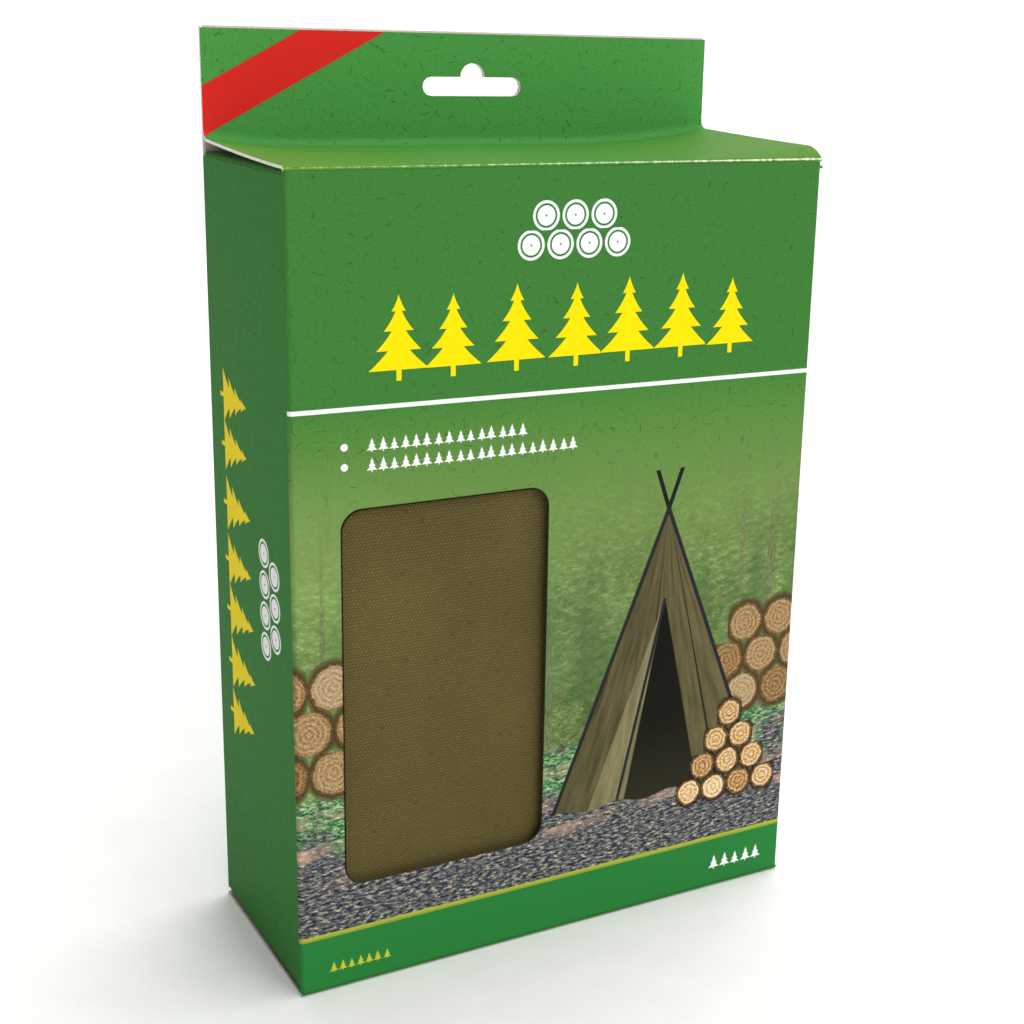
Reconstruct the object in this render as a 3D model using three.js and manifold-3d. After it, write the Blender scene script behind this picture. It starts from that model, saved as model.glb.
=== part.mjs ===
// A canvas log carrier, folded flat, in its window carton with a hang tab.
//
// Millimetres, +Z up. The origin is the middle of the carton's base, the carton's front faces -Y,
// and the window is on the left half of the front. The carton is one die-cut board blank: each
// panel that a crease parts from the sleeve is a solid of its own here. The carrier is one oblong
// of canvas with taped long edges and two lines of webbing that end in handles. It is folded in
// three across its width and then to and fro along its length, with the handles laid behind.

import * as THREE from "three";
import { mergeVertices } from "three/addons/utils/BufferGeometryUtils.js";
import Module from "manifold-3d";

const wasm = await Module();
wasm.setup();

// Carton
const cartonWidth = 165;
const cartonDepth = 66;
const cartonHeight = 231;
const board = 0.8; // thickness of the board
const crease = 1.2; // outer radius where the board is folded
const plyGap = 0.3; // air between plies, and across a crease
const glueLap = 14; // width of the seam's inner ply
const dustFlapLength = 46; // how far a dust flap reaches in from its side wall
const dustFlapTaper = 7; // how much narrower each side of a dust flap is at its free edge
const innerFlapLength = 38; // how far the bottom's inner panel reaches from the back wall

// Hang tab
const tabHeight = 32;
const tabBackRise = 0.6; // the back ply stands this much above the front ply
const tabFoldRadius = 3; // the soft fold between top panel and tab
const tabSettle = 18; // height on the tab over which a lifted end lies flat again

// The top panel has sprung up at its ends. Each row is one end: the side it is on, its rear corner's
// lift as a share of topLift, the share of the width over which it rises, and the share of its lift
// that it has already reached a little way behind the front crease.
const topLift = 4.6;
const liftStart = 8; // how far behind the front crease that place is
const liftedEnds = [
  { side: -1, lift: 0.6, width: 0.2, atFront: 0 },
  { side: 1, lift: 1, width: 0.3, atFront: 0.62 },
];

// Hanging slot: a round-ended bar with a hump over its middle
const slotWidth = 32.5;
const slotBar = 5.5;
const slotHump = 4; // radius of the hump
const slotCentre = 16.9; // height of the bar's middle above the top panel

// Window, measured on the front panel
const windowWidth = 62;
const windowHeight = 109.5;
const windowCorner = 5.8;
const windowFromLeft = 14;
const windowFromBase = 31.6;

// Folded canvas
const canvas = 1; // thickness of the cloth
const sheetSideGap = 3; // air between the pack and each side wall
const sheetFrontGap = 2.2; // air between the front panel and the canvas
const packBaseGap = 0.6; // air under the pack
const packTopGap = 6; // air between the pack's upper folds and the dust flaps
const plyRise = 2.2; // from the front ply to the middle ply
const endInset = 6; // how far each taped edge stays inside the fold it faces
const firstPanelDrop = 5; // how far the sheet's first end stays below the pack's upper folds
const lastPanelLength = 92; // length of the sheet's last, short panel
const foldEase = 0.4; // air between two straps that face each other in a fold

// Edge tape: black binding over both long edges
const tape = 0.5;
const tapeGap = 0.2;
const tapeCover = 9; // how far the tape reaches in from the edge

// Webbing
const strapWidth = 25;
const strap = 1.4; // thickness
const strapFromFold = 36; // from the right fold to the middle of the strap that is folded over it
const strapBend = 3; // radius of a strap's turns at the top of the pack
const handleNearLayer = 10; // depth of the rear handle's strap behind the last panel's front ply
const handleFarLayer = 13.4; // depth of the front handle's strap behind it
const handleCrossNear = 165; // height of the rear handle's cross piece above the pack's base
const handleCrossFar = 30; // height of the front handle's cross piece above it
const handleTurn = 16; // height at which the rear handle's strap turns up again

// Grip: a canvas wrap round the front handle's cross piece
const gripEndGap = 1; // air between each end of the grip and the strap beside it
const gripWall = 1.2;
const gripGap = 0.4;

const arcSteps = 6; // segments in a small turn
const bendSteps = 9; // segments in a half turn of the canvas

/** Points on an arc in the plane, from one angle to another in degrees, both ends included. */
function arcPoints(x, y, radius, from, to, steps = arcSteps) {
  const points = [];
  for (let i = 0; i <= steps; i += 1) {
    const angle = THREE.MathUtils.degToRad(from + ((to - from) * i) / steps);
    points.push(new THREE.Vector2(x + radius * Math.cos(angle), y + radius * Math.sin(angle)));
  }
  return points;
}

/** Points on a straight line in the plane, split into equal steps, both ends left out. */
function between(a, b, steps) {
  const points = [];
  for (let i = 1; i < steps; i += 1) points.push(a.clone().lerp(b, i / steps));
  return points;
}

/** The closed outline of a ribbon of even thickness along an open line of points. */
function ribbon(line, thickness) {
  const sides = [[], []];
  line.forEach((point, i) => {
    const before = point.clone().sub(line[Math.max(i - 1, 0)]).normalize();
    const after = line[Math.min(i + 1, line.length - 1)].clone().sub(point).normalize();
    const along = before.clone().add(after).normalize();
    const mitre = i > 0 && i < line.length - 1 ? along.dot(after) : 1;
    const across = new THREE.Vector2(-along.y, along.x).multiplyScalar(thickness / 2 / mitre);
    sides[0].push(point.clone().add(across));
    sides[1].push(point.clone().sub(across));
  });
  return new THREE.Shape([...sides[0], ...sides[1].reverse()]);
}

const upright = new THREE.Matrix4(); // an outline in X and Y, raised along Z
const sideways = new THREE.Matrix4().makeBasis(
  new THREE.Vector3(0, 1, 0),
  new THREE.Vector3(0, 0, 1),
  new THREE.Vector3(1, 0, 0),
); // an outline in Y and Z, drawn out along X
const forward = new THREE.Matrix4().makeBasis(
  new THREE.Vector3(1, 0, 0),
  new THREE.Vector3(0, 0, 1),
  new THREE.Vector3(0, -1, 0),
); // an outline in X and Z, drawn out along -Y

/** A shape drawn out along an axis, starting at a place on that axis. */
function drawnOut(shape, axes, start, length, steps = 1) {
  return new THREE.ExtrudeGeometry(shape, { depth: length, steps, bevelEnabled: false })
    .translate(0, 0, start)
    .applyMatrix4(axes);
}

/** A box between two corners. */
function block(low, high) {
  const size = new THREE.Vector3(...high).sub(new THREE.Vector3(...low));
  return new THREE.BoxGeometry(size.x, size.y, size.z).translate(
    low[0] + size.x / 2,
    low[1] + size.y / 2,
    low[2] + size.z / 2,
  );
}

/** A closed geometry as a solid that can be cut and joined. */
function solid(geometry) {
  const bare = geometry.index ? geometry.toNonIndexed() : geometry.clone();
  bare.deleteAttribute("normal");
  bare.deleteAttribute("uv");
  const merged = mergeVertices(bare, 1e-4);
  return new wasm.Manifold(
    new wasm.Mesh({
      numProp: 3,
      vertProperties: merged.attributes.position.array,
      triVerts: new Uint32Array(merged.index.array),
    }),
  );
}

/** A geometry with others cut out of it. */
function cut(geometry, ...cutters) {
  let left = solid(geometry);
  for (const cutter of cutters) left = left.subtract(solid(cutter));
  const mesh = left.getMesh();
  const made = new THREE.BufferGeometry();
  made.setAttribute("position", new THREE.BufferAttribute(mesh.vertProperties, 3));
  made.setIndex(new THREE.BufferAttribute(mesh.triVerts, 1));
  made.computeVertexNormals();
  return made;
}

/** A line in the Y-Z plane that a flat section follows: X stays across it, and depth turns with it. */
class FoldRoute extends THREE.Curve {
  constructor(line) {
    super();
    this.line = line;
    this.steps = line.length - 1;
  }

  getPointAt(share) {
    const point = this.line[Math.round(share * this.steps)];
    return new THREE.Vector3(0, point.x, point.y);
  }

  getTangentAt(share) {
    const i = Math.round(share * this.steps);
    const before = this.line[i].clone().sub(this.line[Math.max(i - 1, 0)]).normalize();
    const after = this.line[Math.min(i + 1, this.steps)].clone().sub(this.line[i]).normalize();
    const along = before.add(after).normalize();
    return new THREE.Vector3(0, along.x, along.y);
  }

  computeFrenetFrames(segments) {
    const frames = { tangents: [], normals: [], binormals: [] };
    for (let i = 0; i <= segments; i += 1) {
      const along = this.getTangentAt(i / segments);
      frames.tangents.push(along);
      frames.normals.push(new THREE.Vector3(0, -along.z, along.y));
      frames.binormals.push(new THREE.Vector3(1, 0, 0));
    }
    return frames;
  }
}

/** A section, with depth as its x and width as its y, drawn along a line in the Y-Z plane. */
function swept(section, line) {
  const extrudePath = new FoldRoute(line);
  return new THREE.ExtrudeGeometry(section, { steps: extrudePath.steps, extrudePath });
}

const materials = {
  board: new THREE.MeshStandardMaterial({ color: 0x44883f, roughness: 0.6, metalness: 0 }),
  canvas: new THREE.MeshStandardMaterial({ color: 0x625833, roughness: 0.95, metalness: 0 }),
  tape: new THREE.MeshStandardMaterial({ color: 0x17181b, roughness: 0.85, metalness: 0 }),
  webbing: new THREE.MeshStandardMaterial({ color: 0x232427, roughness: 0.8, metalness: 0 }),
};

/** A named piece, added to its group. */
function piece(group, name, geometry, material, x = 0, y = 0, z = 0) {
  const mesh = new THREE.Mesh(geometry, material);
  mesh.name = name;
  mesh.position.set(x, y, z);
  group.add(mesh);
}

// Places on the carton that its pieces share. "Middle" is the middle of the board's thickness.
const halfWidth = cartonWidth / 2;
const halfDepth = cartonDepth / 2;
const middleX = halfWidth - board / 2;
const middleY = halfDepth - board / 2;
const turn = crease - board / 2; // radius of a crease at the board's middle
const layer = board + plyGap; // from one ply to the next
const topMiddle = cartonHeight - board / 2;
const topDustMiddle = topMiddle - layer;
const baseMiddle = board / 2;
const baseInnerMiddle = baseMiddle + layer;
const baseDustMiddle = baseInnerMiddle + layer;
const tabFrontMiddle = middleY - layer;
const windowLeft = -halfWidth + windowFromLeft;

/** The round-ended bar with a hump that both plies of the tab are cut through by. */
function slotCutter() {
  const end = slotBar / 2;
  const reach = slotWidth / 2 - end;
  const centre = cartonHeight + slotCentre;
  const shape = new THREE.Shape([
    ...arcPoints(reach, centre, end, -90, 90),
    ...arcPoints(0, centre + end, slotHump, 0, 180, 2 * arcSteps),
    ...arcPoints(-reach, centre, end, 90, 270),
  ]);
  return drawnOut(shape, forward, -halfDepth - board, 4 * board + cartonDepth / 4);
}

/** The rounded oblong cut out of the front panel. */
function windowCutter() {
  const left = windowLeft + windowCorner;
  const right = windowLeft + windowWidth - windowCorner;
  const low = windowFromBase + windowCorner;
  const high = windowFromBase + windowHeight - windowCorner;
  const shape = new THREE.Shape([
    ...arcPoints(right, low, windowCorner, -90, 0),
    ...arcPoints(right, high, windowCorner, 0, 90),
    ...arcPoints(left, high, windowCorner, 90, 180),
    ...arcPoints(left, low, windowCorner, 180, 270),
  ]);
  return drawnOut(shape, forward, halfDepth - 2 * board, 4 * board);
}

/** Four walls in one ribbon of board, glued where its ends lap inside the back wall at the right,
 *  with the back wall carried up as the hang tab's back ply. */
function sleeve() {
  const lapMiddle = middleY - layer;
  const line = [
    new THREE.Vector2(middleX - glueLap, lapMiddle),
    ...arcPoints(middleX - turn, lapMiddle - turn, turn, 90, 0),
    ...arcPoints(middleX - turn, turn - middleY, turn, 0, -90),
    ...arcPoints(turn - middleX, turn - middleY, turn, -90, -180),
    ...arcPoints(turn - middleX, middleY - turn, turn, 180, 90),
    new THREE.Vector2(halfWidth, middleY),
  ];
  const fullHeight = cartonHeight + tabHeight + tabBackRise;
  const walls = drawnOut(ribbon(line, board), upright, 0, fullHeight);
  const out = board; // how far a cutter reaches past the carton
  const frontInside = crease - halfDepth;
  const backInside = halfDepth - board - plyGap / 2;
  const sideTop = topDustMiddle - turn - plyGap;
  const frontTop = topMiddle - turn - plyGap;
  const above = fullHeight + out;
  const sideBase = baseDustMiddle + turn + plyGap;
  const backBase = baseInnerMiddle + turn + plyGap;
  const frontBase = baseMiddle + turn + plyGap;
  const x = halfWidth + out;
  const y = halfDepth + out;
  return cut(
    walls,
    block([-x, frontInside, sideTop], [x, backInside, above]),
    block([-x, -y, frontTop], [x, backInside, above]),
    block([-x, frontInside, -out], [x, halfDepth - crease, sideBase]),
    block([-x, -y, -out], [x, frontInside + plyGap, frontBase]),
    block([-x, halfDepth - crease - plyGap, -out], [x, y, backBase]),
    windowCutter(),
    slotCutter(),
  );
}

/** How far the top panel has sprung up at a place on it. */
function liftAt(x, y, z) {
  const fromFront = THREE.MathUtils.clamp((y + halfDepth) / cartonDepth, 0, 1);
  const quickRise = THREE.MathUtils.smoothstep(y + halfDepth, 0, liftStart);
  const foldTop = topMiddle + tabFoldRadius;
  const settled = THREE.MathUtils.smoothstep(z, foldTop, foldTop + tabSettle);
  const total = liftedEnds.reduce((sum, { side, lift, width, atFront }) => {
    const across = Math.max(0, 1 - (halfWidth - side * x) / (width * cartonWidth)) ** 2;
    const deep = atFront * quickRise + (1 - atFront) * fromFront ** 1.5;
    return sum + lift * topLift * across * deep;
  }, 0);
  return total * (1 - settled);
}

/** The top panel, from its crease on the front wall to the soft fold where it turns up as the hang
 *  tab's front ply. */
function topPanel() {
  const foldStart = tabFrontMiddle - tabFoldRadius;
  const creaseArc = arcPoints(turn - middleY, topMiddle - turn, turn, 180, 90, 4);
  const foldArc = arcPoints(foldStart, topMiddle + tabFoldRadius, tabFoldRadius, -90, 0);
  const tabTop = new THREE.Vector2(tabFrontMiddle, cartonHeight + tabHeight);
  const line = [
    ...creaseArc,
    ...between(creaseArc.at(-1), foldArc[0], 8),
    ...foldArc,
    ...between(foldArc.at(-1), tabTop, 5),
    tabTop,
  ];
  const across = 24;
  const made = drawnOut(ribbon(line, board), sideways, -halfWidth, cartonWidth, across);
  const at = made.attributes.position;
  for (let i = 0; i < at.count; i += 1) {
    at.setZ(i, at.getZ(i) + liftAt(at.getX(i), at.getY(i), at.getZ(i)));
  }
  return cut(made, slotCutter());
}

/** A flap folded in from a side wall: side is -1 on the left and 1 on the right, and up is 1 at the
 *  top and -1 at the base. */
function dustFlap(side, up, middle) {
  const centre = middle - up * turn;
  const line = [
    ...arcPoints(turn - middleX, centre, turn, 180, up > 0 ? 90 : 270, 4),
    new THREE.Vector2(dustFlapLength - halfWidth, middle),
  ];
  const near = crease + plyGap - halfDepth;
  const far = halfDepth - crease - layer - plyGap;
  const flap = drawnOut(ribbon(line, board), forward, -far, far - near);
  const root = 2 * crease - halfWidth;
  const tip = dustFlapLength + 1 - halfWidth;
  const wedges = [
    [near, 1],
    [far, -1],
  ].map(([edge, inward]) => {
    const shape = new THREE.Shape([
      new THREE.Vector2(root, edge),
      new THREE.Vector2(tip, edge + inward * dustFlapTaper),
      new THREE.Vector2(tip, edge - inward * board),
      new THREE.Vector2(root, edge - inward * board),
    ]);
    return drawnOut(shape, upright, middle - board, 2 * board);
  });
  const left = cut(flap, ...wedges);
  return side < 0 ? left : cut(left.rotateZ(Math.PI).translate(0, near + far, 0));
}

/** The base's outer panel, creased from the front wall, with its free edge under the back wall. */
function basePanel() {
  const line = [
    ...arcPoints(turn - middleY, baseMiddle + turn, turn, 180, 270, 4),
    new THREE.Vector2(halfDepth - plyGap, baseMiddle),
  ];
  return drawnOut(ribbon(line, board), sideways, -halfWidth, cartonWidth);
}

/** The base's inner panel, creased from the back wall. */
function baseInnerPanel() {
  const line = [
    ...arcPoints(middleY - turn, baseInnerMiddle + turn, turn, 0, -90, 4),
    new THREE.Vector2(halfDepth - innerFlapLength, baseInnerMiddle),
  ];
  const length = cartonWidth - 2 * crease;
  return drawnOut(ribbon(line, board), sideways, crease - halfWidth, length);
}

const carton = new THREE.Group();
piece(carton, "carton_sleeve", sleeve(), materials.board);
piece(carton, "top_panel_and_tab", topPanel(), materials.board);
piece(carton, "top_dust_flap_left", dustFlap(-1, 1, topDustMiddle), materials.board);
piece(carton, "top_dust_flap_right", dustFlap(1, 1, topDustMiddle), materials.board);
piece(carton, "base_panel", basePanel(), materials.board);
piece(carton, "base_inner_panel", baseInnerPanel(), materials.board);
piece(carton, "base_dust_flap_left", dustFlap(-1, -1, baseDustMiddle), materials.board);
piece(carton, "base_dust_flap_right", dustFlap(1, -1, baseDustMiddle), materials.board);

// The canvas section, seen along the sheet: a front ply, a middle ply folded over from the right
// and a back ply folded over from the left, which leaves room for the right strap between them.
const strapRoom = strap + 2 * plyGap;
const middlePly = plyRise;
const backPly = middlePly + canvas + strapRoom;
const wrapSide = backPly / 2 + canvas / 2; // how far the wider fold stands out sideways
const halfPack = halfWidth - board - sheetSideGap - wrapSide;
const rightStrapDepth = middlePly + (backPly - middlePly) / 2;
const leftStrapDepth = backPly + canvas / 2 + plyGap + strap / 2;
const sectionBack = leftStrapDepth + strap / 2;

// Both straps lie equally far from the sheet's middle line when it is laid flat, and the left fold
// is the wider one, so the left strap comes a little nearer to its fold.
const rightStrapX = halfPack - strapFromFold;
const leftStrapX = strapFromFold - (Math.PI * (backPly - middlePly)) / 2 - halfPack;
const gripLength = rightStrapX - leftStrapX - strapWidth - 2 * gripEndGap;

// Depths and heights of the to-and-fro folds, from the pack's own corner: depth 0 is the front
// ply's middle on the first panel, and height 0 is the pack's base.
const gripDepth = strap / 2 + gripGap + gripWall;
const crossFarDepth = handleFarLayer + strap + plyGap;
const packBack = crossFarDepth + gripDepth;
const tightBend = sectionBack + foldEase;
const packDepth = cartonDepth - 2 * board - sheetFrontGap - plyGap - layer;
const looseBend = (packDepth - canvas / 2 - 4 * tightBend - packBack) / 4;
const packBase = baseDustMiddle + board / 2 + packBaseGap;
const packTop = topDustMiddle - board / 2 - packTopGap - packBase;
const lowTurn = tightBend + canvas / 2;
const highTurn = packTop - looseBend - sectionBack;
const panels = 5;
const panelDepths = [0];
for (let i = 1; i < panels; i += 1) {
  panelDepths.push(panelDepths[i - 1] + 2 * (i % 2 ? tightBend : looseBend));
}
const lastDepth = panelDepths[panels - 1];
const firstEnd = packTop - firstPanelDrop;
const lastEnd = highTurn - lastPanelLength;

/** The line that the front ply follows: down, round, up, round and so on, to the short panel. */
function foldLine() {
  const line = [new THREE.Vector2(0, firstEnd)];
  for (let i = 1; i < panels; i += 1) {
    const low = i % 2 === 1;
    const radius = low ? tightBend : looseBend;
    const height = low ? lowTurn : highTurn;
    const centre = panelDepths[i - 1] + radius;
    line.push(...arcPoints(centre, height, radius, 180, low ? 360 : 0, bendSteps));
  }
  line.push(new THREE.Vector2(lastDepth, lastEnd));
  return line;
}

/** The folded section of the sheet, as an outline with depth first and width second. */
function canvasSection() {
  const edge = halfPack - endInset;
  const line = [
    new THREE.Vector2(middlePly, -edge),
    ...arcPoints(middlePly / 2, halfPack, middlePly / 2, 0, 180, 4),
    ...arcPoints(backPly / 2, -halfPack, backPly / 2, 180, 360),
    new THREE.Vector2(backPly, edge),
  ];
  return ribbon(line, canvas);
}

/** Binding folded over one taped edge: the channel's web stands off the edge on the given side. */
function tapeSection(depth, edge, side) {
  const reach = canvas / 2 + tapeGap;
  const outer = edge + side * (tapeGap + tape);
  const inner = edge + side * tapeGap;
  const lip = edge - side * tapeCover;
  return new THREE.Shape([
    new THREE.Vector2(depth - reach - tape, lip),
    new THREE.Vector2(depth - reach - tape, outer),
    new THREE.Vector2(depth + reach + tape, outer),
    new THREE.Vector2(depth + reach + tape, lip),
    new THREE.Vector2(depth + reach, lip),
    new THREE.Vector2(depth + reach, inner),
    new THREE.Vector2(depth - reach, inner),
    new THREE.Vector2(depth - reach, lip),
  ]);
}

/** A line moved sideways by a distance, as a strap lies on the sheet that it is sewn to. */
function offsetLine(line, distance) {
  const route = new FoldRoute(line);
  return line.map((point, i) => {
    const along = route.getTangentAt(i / route.steps);
    return point.clone().add(new THREE.Vector2(-along.z, along.y).multiplyScalar(distance));
  });
}

/** One line of webbing: from the front handle's end behind the pack, over the top, down into the
 *  first panel, along every fold of the sheet, and out to the rear handle's end. */
function strapLine(depth) {
  const sewn = offsetLine(foldLine(), depth);
  const overTop = packTop + plyGap + strap / 2;
  const farDepth = lastDepth + handleFarLayer;
  const nearDepth = lastDepth + handleNearLayer;
  const turnUp = (nearDepth - lastDepth - depth) / 2;
  return [
    new THREE.Vector2(farDepth, handleCrossFar - strapWidth / 2),
    ...arcPoints(farDepth - strapBend, overTop - strapBend, strapBend, 0, 90),
    ...arcPoints(depth + strapBend, overTop - strapBend, strapBend, 90, 180),
    ...sewn,
    ...arcPoints(nearDepth - turnUp, handleTurn, turnUp, 180, 360),
    new THREE.Vector2(nearDepth, handleCrossNear + strapWidth / 2),
  ];
}

/** A strap's section, flat against the sheet. */
function strapSection() {
  const half = strap / 2;
  return new THREE.Shape([
    new THREE.Vector2(-half, -strapWidth / 2),
    new THREE.Vector2(half, -strapWidth / 2),
    new THREE.Vector2(half, strapWidth / 2),
    new THREE.Vector2(-half, strapWidth / 2),
  ]);
}

/** The cross piece of a handle: webbing turned through a slanting fold at each end. */
function crossPiece(height, up) {
  const left = leftStrapX - strapWidth / 2;
  const right = rightStrapX + strapWidth / 2;
  const inner = height - (up * strapWidth) / 2;
  const outer = height + (up * strapWidth) / 2;
  const shape = new THREE.Shape([
    new THREE.Vector2(left, inner),
    new THREE.Vector2(right, inner),
    new THREE.Vector2(right - strapWidth, outer),
    new THREE.Vector2(left + strapWidth, outer),
  ]);
  return drawnOut(shape, forward, -strap / 2, strap);
}

/** The grip: a flat sleeve of canvas round the cross piece. */
function gripWrap() {
  const inner = strapWidth / 2 + gripGap;
  const outline = (reach, round) => [
    ...arcPoints(0, reach - round, round, 0, 180),
    ...arcPoints(0, round - reach, round, 180, 360),
  ];
  const innerRound = strap / 2 + gripGap;
  const shape = new THREE.Shape(outline(inner + gripWall, innerRound + gripWall));
  shape.holes.push(new THREE.Path(outline(inner, innerRound)));
  return drawnOut(shape, sideways, -gripLength / 2, gripLength);
}

const carrier = new THREE.Group();
carrier.position.set(0, board + sheetFrontGap + canvas / 2 - halfDepth, packBase);
const tapedEdge = halfPack - endInset;
const sheetLine = foldLine();
piece(carrier, "folded_canvas", swept(canvasSection(), sheetLine), materials.canvas);
const tapeOver = (depth, edge, side) => swept(tapeSection(depth, edge, side), sheetLine);
piece(carrier, "edge_tape_inner", tapeOver(middlePly, -tapedEdge, -1), materials.tape);
piece(carrier, "edge_tape_outer", tapeOver(backPly, tapedEdge, 1), materials.tape);
for (const [name, x, depth] of [
  ["webbing_strap_left", leftStrapX, leftStrapDepth],
  ["webbing_strap_right", rightStrapX, rightStrapDepth],
]) {
  piece(carrier, name, swept(strapSection(), strapLine(depth)), materials.webbing, x);
}
const crossNearDepth = lastDepth + handleNearLayer + strap + plyGap;
const crossFar = lastDepth + crossFarDepth;
const gripX = (leftStrapX + rightStrapX) / 2;
piece(
  carrier,
  "rear_handle_cross",
  crossPiece(handleCrossNear, -1),
  materials.webbing,
  0,
  crossNearDepth,
);
piece(
  carrier,
  "front_handle_cross",
  crossPiece(handleCrossFar, 1),
  materials.webbing,
  0,
  crossFar,
);
piece(carrier, "grip_wrap", gripWrap(), materials.canvas, gripX, crossFar, handleCrossFar);

const part = new THREE.Group();
part.add(carton, carrier);

export default part;
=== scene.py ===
"""A canvas log carrier, folded flat in its window carton, as a studio picture.

The carton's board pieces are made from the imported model's own solids: cut into small faces, bowed a
little, their raw edges eased, and printed, raw or uncoated by face. The canvas is drawn out as a
cloth of its own, and its tapes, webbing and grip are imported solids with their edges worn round.
Lengths are metres, and millimetres inside the materials. +Z is up and the front faces -Y.
"""

import math
from functools import reduce

import bmesh
import bpy
from mathutils import Matrix, Vector


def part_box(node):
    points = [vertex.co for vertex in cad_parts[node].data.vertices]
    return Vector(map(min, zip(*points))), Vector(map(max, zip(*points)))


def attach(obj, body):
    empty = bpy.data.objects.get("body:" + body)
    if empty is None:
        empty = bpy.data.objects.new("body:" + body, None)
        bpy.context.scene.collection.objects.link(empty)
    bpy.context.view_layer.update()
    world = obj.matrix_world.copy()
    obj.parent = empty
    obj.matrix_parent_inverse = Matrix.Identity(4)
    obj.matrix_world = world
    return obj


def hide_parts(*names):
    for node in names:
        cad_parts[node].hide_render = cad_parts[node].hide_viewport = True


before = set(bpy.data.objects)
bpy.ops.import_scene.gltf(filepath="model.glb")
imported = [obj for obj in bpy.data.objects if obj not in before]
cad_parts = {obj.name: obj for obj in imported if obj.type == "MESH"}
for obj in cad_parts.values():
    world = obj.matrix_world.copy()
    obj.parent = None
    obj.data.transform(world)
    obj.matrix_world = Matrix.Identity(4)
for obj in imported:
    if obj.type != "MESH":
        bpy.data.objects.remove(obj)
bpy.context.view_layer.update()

mm = 0.001

# The carton, from the frame
board = 0.8 * mm
ply_gap = 0.3 * mm
half_width, half_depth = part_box("carton_sleeve")[1].xy
box_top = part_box("top_dust_flap_left")[1].z + ply_gap + board

# Window in the front panel
window_left = -68.5 * mm
window_width = 62 * mm
window_base = 31.6 * mm
window_height = 109.5 * mm
window_corner = 5.8 * mm

# Board pieces
weld = 1e-6  # two corners nearer than this are one
flat_enough = math.radians(0.2)
eased = 0.1 * mm  # how far the raw edges are rounded
front_bow = 0.5 * mm
side_bow = 0.35 * mm
back_bow = 0.3 * mm
rims = [  # the heights of the sleeve's rims, and how far each reaches into the gap at its crease
    (1.5 * mm, -0.16 * mm),
    (2.6 * mm, -0.16 * mm),
    (3.7 * mm, -0.3 * mm),
    (box_top - 2.6 * mm, 0.3 * mm),
    (box_top - 1.5 * mm, 0.3 * mm),
]
on_rim = 0.15 * mm  # a corner nearer than this to a rim's height is on that rim
inner_share = 0.5  # how far a rim's inner side moves, as a share of its outer side
side_creases = [  # the heights between which the side walls' creases lie
    (3.2 * mm, 3.8 * mm),
    (box_top - 2.7 * mm, box_top - 2.1 * mm),
]
front_crease = box_top - 2.2 * mm  # the front wall's top crease lies above this
base_creases = 2.8 * mm  # and the creases of the base's panels lie below this
crease_depth = 2 * mm  # how far in from the face of a wall its crease reaches
skin = 0.05 * mm  # what lies nearer than this to a side's own face is on that face
lip_reach = 2.6 * mm  # how far the right dust flap's fold has burst out past the wall
lip_sag = 1.2 * mm
lip_length = 17 * mm
lip_bare = 2.5 * mm  # how far in from the side the ink is off it
end_bulge = 1.1 * mm  # how far the top panel's sprung end bulges up
bulge_length = 8.7 * mm
soft_turn = math.radians(40)  # faces that meet at less than this are shaded as one surface
tab_turn = 6 * mm  # how far before the back the top panel begins to turn up into the tab
tab_upright = 5 * mm  # how far above the box's top it has turned upright
tab_print_depth = 5 * mm  # how far before the back the tab's print begins
tab_print_rise = 1 * mm  # and how far above the box's top

# Folded canvas, as depths behind the front ply and heights above the carton's base
cloth = 1 * mm
edge_wear = 0.3 * mm  # how far the edges of tapes, straps and the grip are worn round
belly_depth = 0.5 * mm  # how far the first panel bellies forward
wave_depth = 0.16 * mm
canvas_low, canvas_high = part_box("folded_canvas")
ply_rise = 2.2 * mm  # from the front ply to the middle ply
wrap_rise = 5.2 * mm  # from the front ply to the back ply
edge_inset = 6 * mm  # how far each taped edge stays inside the fold it faces
tight_bend = 7.8 * mm  # radius of the front ply's lower turns
loose_bend = 2.925 * mm  # and of its upper ones
low_turn = 11.9 * mm
high_turn = 212.775 * mm
first_end = 218.1 * mm
last_end = 120.775 * mm
cloth_step = 7 * mm


def linear(colour):
    """An sRGB hex colour as linear red, green, blue and full alpha."""
    channels = [int(colour[i : i + 2], 16) / 255 for i in (1, 3, 5)]
    return (*[c / 12.92 if c <= 0.04045 else ((c + 0.055) / 1.055) ** 2.4 for c in channels], 1)


def node_adder(owner):
    """Empties the nodes of a material or world, and gives the function that adds nodes to it."""
    owner.use_nodes = True
    tree = owner.node_tree
    tree.nodes.clear()

    def add(kind, *inputs, out=None, stops=(), **settings):
        """Adds a node such as "Math ADD", its inputs in order or in a dict, and gives an output."""
        kind, *operation = kind.split()
        made = tree.nodes.new("ShaderNode" + kind)
        if operation:
            made.operation = operation[0]
        for setting, value in settings.items():
            setattr(made, setting, value)
        for position, colour in stops[1:-1]:
            made.color_ramp.elements.new(position).color = linear(colour)
        for end in (0, -1) if stops else ():
            made.color_ramp.elements[end].position = stops[end][0]
            made.color_ramp.elements[end].color = linear(stops[end][1])
        in_order = [socket for socket in made.inputs if socket.enabled]
        named = inputs[0] if inputs and isinstance(inputs[0], dict) else dict(enumerate(inputs))
        for key, value in named.items():
            socket = in_order[key] if isinstance(key, int) else made.inputs[key]
            if isinstance(value, bpy.types.NodeSocket):
                tree.links.new(value, socket)
            elif isinstance(value, str):
                socket.default_value = linear(value)[: len(socket.default_value)]
            else:
                socket.default_value = value
        return made.outputs[out] if out else next((s for s in made.outputs if s.enabled), None)

    return add


def new_finish(name):
    """A new material, and the function that adds nodes to it."""
    material = bpy.data.materials.new(name)
    return material, node_adder(material)


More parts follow.
